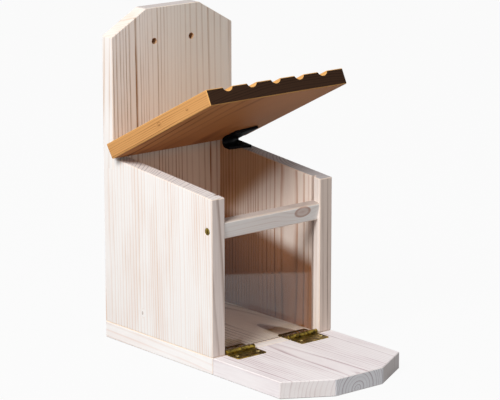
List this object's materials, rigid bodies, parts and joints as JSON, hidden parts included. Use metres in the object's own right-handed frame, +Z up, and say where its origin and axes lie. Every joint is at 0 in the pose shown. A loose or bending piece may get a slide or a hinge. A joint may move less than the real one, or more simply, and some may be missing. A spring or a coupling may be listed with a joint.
{
  "type": "squirrel feeder box",
  "caption": "Wooden wall-mounted squirrel feeder with a clear window, a grooved lid on a rubber strip hinge and a folding landing board on butt hinges.",
  "frame": {"origin": "middle of the base board's underside", "axes": "+Z up along the back board, +Y to the rear (the wall), -Y to the front (the landing board), +X to the right as seen from the front"},
  "size_m": [0.193, 0.3355, 0.375],
  "materials": {
    "whitewashed_spruce": "planed softwood, thinly whitewashed",
    "oiled_lid": "planed softwood with a honey brown stain",
    "clear_pane": "clear cast acrylic",
    "rubber_strip": "matt black",
    "steel_nails": "zinc plated clout nails",
    "zinc_screws": "zinc plated wood screws",
    "brass_fittings": "yellow brass, slightly tarnished"
  },
  "bodies": {
    "box": {"base_board": "whitewashed_spruce", "left_side_panel": "whitewashed_spruce", "right_side_panel": "whitewashed_spruce", "back_board": "whitewashed_spruce", "front_rail": "whitewashed_spruce", "window_pane": "clear_pane", "right_rubber_hinge": "rubber_strip", "right_panel_nails": "steel_nails", "left_rail_screw": "brass_fittings", "right_rail_screw": "brass_fittings", "left_panel_screws": "zinc_screws", "right_panel_screws": "zinc_screws", "back_board_screws": "zinc_screws", "left_hinge_base_leaf": "brass_fittings", "right_hinge_base_leaf": "brass_fittings", "left_hinge_pin": "brass_fittings", "right_hinge_pin": "brass_fittings", "left_base_leaf_screws": "brass_fittings", "right_base_leaf_screws": "brass_fittings"},
    "lid": {"roof_lid": "oiled_lid", "right_lid_nails": "steel_nails"},
    "landing": {"landing_board": "whitewashed_spruce", "left_hinge_landing_leaf": "brass_fittings", "right_hinge_landing_leaf": "brass_fittings", "left_landing_leaf_screws": "brass_fittings", "right_landing_leaf_screws": "brass_fittings"}
  },
  "joints": [
    {"name": "lid_hinge", "type": "hinge", "parent": "box", "child": "lid", "pos_m": [0, 0.05815, 0.21365], "axis": [-1, 0, 0], "range_deg": [-34.7, 7], "deforming": ["right_rubber_hinge"]},
    {"name": "landing_hinge", "type": "hinge", "parent": "box", "child": "landing", "pos_m": [0, -0.0965, 0.02175], "axis": [-1, 0, 0], "range_deg": [0, 91]}
  ]
}
